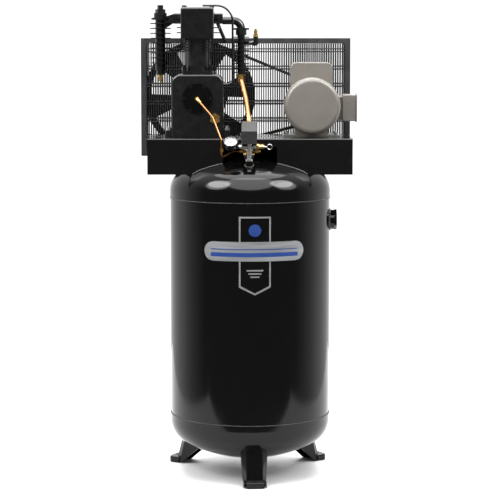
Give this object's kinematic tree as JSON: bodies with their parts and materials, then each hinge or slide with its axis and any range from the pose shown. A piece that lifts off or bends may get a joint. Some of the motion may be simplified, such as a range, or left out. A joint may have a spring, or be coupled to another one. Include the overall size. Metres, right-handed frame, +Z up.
{
  "type": "vertical tank compressor",
  "caption": "Upright air receiver on pressed legs, carrying a finned piston pump, a belt guard, a motor and its controls on a folded deck.",
  "frame": {"origin": "on the floor, on the receiver's axis, which is the centre of the foot bolt circle", "axes": "+Z up, the gauge and switch face -Y, the motor is on +X"},
  "size_m": [0.8345, 0.6472, 1.7887],
  "materials": {
    "gloss_black_enamel": "gloss",
    "deck_enamel": "semi-gloss",
    "guard_enamel": "semi-gloss",
    "zinc_bolt": "zinc plated",
    "black_casting": "painted",
    "black_sheet": "semi-gloss",
    "paper_element": "pleated paper",
    "machined_steel": "machined",
    "piston_alloy": "cast",
    "motor_enamel": "satin grey",
    "pulley_iron": "machined",
    "fan_plastic": "moulded",
    "belt_rubber": "matt",
    "brass_fitting": "turned",
    "copper_tube": "drawn copper",
    "switch_base_metal": "satin",
    "switch_plastic": "moulded",
    "gauge_black": "gloss",
    "dial_white": "matt white",
    "lens_glass": "clear"
  },
  "bodies": {
    "root": {"tank_shell": "gloss_black_enamel", "top_head": "gloss_black_enamel", "bottom_head": "gloss_black_enamel", "tank_legs": "gloss_black_enamel", "tank_couplings": "gloss_black_enamel", "drain_valve": "brass_fitting", "check_valve": "brass_fitting", "deck": "deck_enamel", "deck_bolts": "zinc_bolt", "guard_frame": "guard_enamel", "guard_front_grille": "guard_enamel", "guard_rear_grille": "guard_enamel", "crankcase": "black_casting", "front_bearing_cover": "black_casting", "rear_bearing_cover": "black_casting", "crank_bearings": "machined_steel", "connecting_rods": "machined_steel", "pistons": "piston_alloy", "front_cylinder": "black_casting", "rear_cylinder": "black_casting", "valve_plate": "machined_steel", "cylinder_head": "black_casting", "filter_housing": "black_sheet", "filter_element": "paper_element", "pump_bolts": "zinc_bolt", "intercooler": "black_casting", "aftercooler": "black_casting", "breather_tube": "black_sheet", "oil_fittings": "brass_fitting", "motor_housing": "motor_enamel", "end_bells": "piston_alloy", "fan_cover": "motor_enamel", "stator": "machined_steel", "motor_bearings": "machined_steel", "capacitor_cover": "motor_enamel", "capacitors": "piston_alloy", "conduit_box": "motor_enamel", "conduit_lid": "motor_enamel", "drive_belts": "belt_rubber", "manifold": "black_sheet", "pressure_switch": "switch_base_metal", "switch_cover": "switch_plastic", "gauge_case": "gauge_black", "gauge_dial": "dial_white", "gauge_lens": "lens_glass", "safety_valves": "brass_fitting", "discharge_tube": "copper_tube", "unloader_tube": "copper_tube", "tube_fittings": "brass_fitting"},
    "crank": {"crankshaft": "machined_steel", "flywheel": "black_casting"},
    "motor_shaft": {"rotor": "machined_steel", "motor_pulley": "pulley_iron", "cooling_fan": "fan_plastic"},
    "gauge_needle": {"gauge_pointer": "gauge_black"},
    "switch_toggle": {"switch_lever": "machined_steel"},
    "safety_pull": {"safety_ring": "machined_steel"},
    "drain_key": {"drain_handle": "machined_steel"}
  },
  "joints": [
    {"name": "crank_spin", "type": "hinge", "parent": "root", "child": "crank", "pos_m": [-0.198, 0, 1.43673], "axis": [0, 1, 0], "continuous": true},
    {"name": "motor_spin", "type": "hinge", "parent": "root", "child": "motor_shaft", "pos_m": [0.2345, 0, 1.40873], "axis": [0, 1, 0], "continuous": true},
    {"name": "needle_turn", "type": "hinge", "parent": "root", "child": "gauge_needle", "pos_m": [-0.071, -0.22471, 1.28051], "axis": [0, 0.6428, -0.766], "range_deg": [0, 250]},
    {"name": "switch_throw", "type": "hinge", "parent": "root", "child": "switch_toggle", "pos_m": [-0.003, -0.184, 1.30259], "axis": [1, 0, 0], "range_deg": [-14, 14]},
    {"name": "ring_pull", "type": "slide", "parent": "root", "child": "safety_pull", "axis": [1, 0, 0], "range_m": [0, 0.004], "stiffness_N_per_m": 400},
    {"name": "drain_turn", "type": "hinge", "parent": "root", "child": "drain_key", "pos_m": [0, 0, 0.03427], "axis": [0, 1, 0], "range_deg": [0, 90]}
  ],
  "couplings": [
    {"joint": "motor_spin", "follows": "crank_spin", "ratio": 2.7212}
  ]
}
